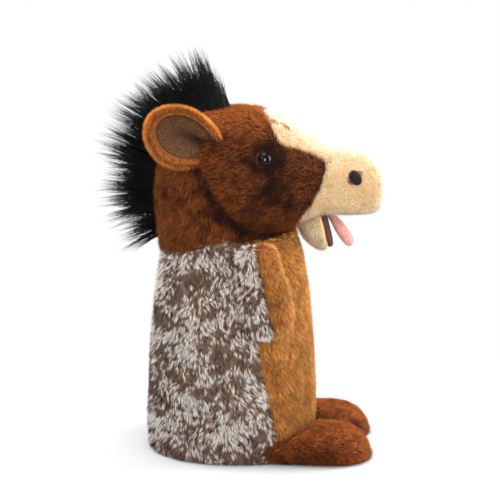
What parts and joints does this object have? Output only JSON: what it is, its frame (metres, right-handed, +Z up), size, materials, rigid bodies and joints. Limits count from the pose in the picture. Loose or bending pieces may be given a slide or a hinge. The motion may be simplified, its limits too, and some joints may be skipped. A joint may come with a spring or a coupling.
{
  "type": "horse hand puppet",
  "caption": "Plush horse hand puppet: an open oval sleeve with arms and feet, a stuffed head on a soft neck, a moving mouth with a tongue, floppy ears and a long upright mane.",
  "frame": {"origin": "under the middle of the whole puppet's bounding box, on the plane that the hem and the soles stand on", "axes": "+Z up, +X forward out of the nose, +Y to the puppet's left; the puppet is symmetric about the XZ plane"},
  "size_m": [0.1852, 0.127, 0.2711],
  "materials": {
    "grey_plush": "long mottled pile",
    "caramel_plush": "short dense pile",
    "brown_plush": "short dense pile",
    "foot_plush": "short dense pile",
    "cream_plush": "short dense pile",
    "mane_hair": "long straight hair",
    "taupe_velour": "velour",
    "brown_felt": "felt",
    "pink_velour": "velour",
    "lining_cloth": "plain woven",
    "stuffing": "polyester fibre",
    "mouth_board": "thin flexible sheet",
    "eye_plastic": "gloss black",
    "washer_plastic": "moulded white",
    "black_felt": "felt"
  },
  "bodies": {
    "torso": {"back_panel": "grey_plush", "chest_panel": "caramel_plush", "sleeve_lining": "lining_cloth"},
    "neck": {"neck_panel": "brown_plush", "neck_lining": "lining_cloth", "mane_nape": "mane_hair"},
    "head": {"head_side_right": "brown_plush", "head_side_left": "brown_plush", "blaze_panel": "cream_plush", "muzzle_panel": "cream_plush", "palate_lining": "brown_felt", "palate_board": "mouth_board", "finger_pocket": "lining_cloth", "crown_filling": "stuffing", "cheek_filling_right": "stuffing", "cheek_filling_left": "stuffing", "muzzle_filling": "stuffing", "eye_right": "eye_plastic", "eye_left": "eye_plastic", "eye_washer_right": "washer_plastic", "eye_washer_left": "washer_plastic", "nostril_right": "black_felt", "nostril_left": "black_felt", "mane_crest": "mane_hair"},
    "jaw": {"jaw_panel": "cream_plush", "jaw_lining": "brown_felt", "jaw_board": "mouth_board", "thumb_pocket": "lining_cloth"},
    "tongue_body": {"tongue": "pink_velour"},
    "ear_right": {"ear_outer_right": "caramel_plush", "ear_inner_right": "taupe_velour"},
    "arm_right": {"arm_back_right": "grey_plush", "arm_front_right": "caramel_plush", "arm_filling_right": "stuffing"},
    "foot_right": {"foot_sole_right": "foot_plush", "foot_upper_right": "foot_plush", "foot_filling_right": "stuffing"},
    "ear_left": {"ear_outer_left": "caramel_plush", "ear_inner_left": "taupe_velour"},
    "arm_left": {"arm_back_left": "grey_plush", "arm_front_left": "caramel_plush", "arm_filling_left": "stuffing"},
    "foot_left": {"foot_sole_left": "foot_plush", "foot_upper_left": "foot_plush", "foot_filling_left": "stuffing"}
  },
  "joints": [
    {"name": "neck_turn", "type": "hinge", "parent": "torso", "child": "neck", "pos_m": [-0.00996, 0, 0.1485], "axis": [-0.1478, 0, 0.989], "range_deg": [-30, 30]},
    {"name": "head_nod", "type": "hinge", "parent": "neck", "child": "head", "pos_m": [0.01004, 0, 0.19052], "axis": [0, -1, 0], "range_deg": [-8, 20], "deforming": ["neck_panel", "neck_lining", "mane_nape"]},
    {"name": "jaw_hinge", "type": "hinge", "parent": "head", "child": "jaw", "pos_m": [0.05304, 0, 0.16792], "axis": [0, -1, 0], "range_deg": [-5, 48]},
    {"name": "tongue_hinge", "type": "hinge", "parent": "head", "child": "tongue_body", "pos_m": [0.05694, 0, 0.16682], "axis": [0, -1, 0], "range_deg": [-5.3, 50.1]},
    {"name": "ear_flop_right", "type": "hinge", "parent": "head", "child": "ear_right", "pos_m": [-0.02496, -0.03457, 0.21552], "axis": [0.5261, -0.0324, 0.8498], "range_deg": [0, 25]},
    {"name": "arm_swing_right", "type": "hinge", "parent": "torso", "child": "arm_right", "pos_m": [0.00954, -0.04667, 0.143], "axis": [0, -0.9806, 0.1961], "range_deg": [0, 75]},
    {"name": "foot_flex_right", "type": "hinge", "parent": "torso", "child": "foot_right", "pos_m": [0.02004, -0.027, 0], "axis": [0, -1, 0], "range_deg": [-45, 8]},
    {"name": "ear_flop_left", "type": "hinge", "parent": "head", "child": "ear_left", "pos_m": [-0.02496, 0.03457, 0.21552], "axis": [-0.5261, -0.0324, -0.8498], "range_deg": [0, 25]},
    {"name": "arm_swing_left", "type": "hinge", "parent": "torso", "child": "arm_left", "pos_m": [0.00954, 0.04667, 0.143], "axis": [0, -0.9806, -0.1961], "range_deg": [0, 75]},
    {"name": "foot_flex_left", "type": "hinge", "parent": "torso", "child": "foot_left", "pos_m": [0.02004, 0.027, 0], "axis": [0, -1, 0], "range_deg": [-45, 8]}
  ],
  "couplings": [
    {"joint": "tongue_hinge", "follows": "jaw_hinge", "ratio": 1.042}
  ]
}
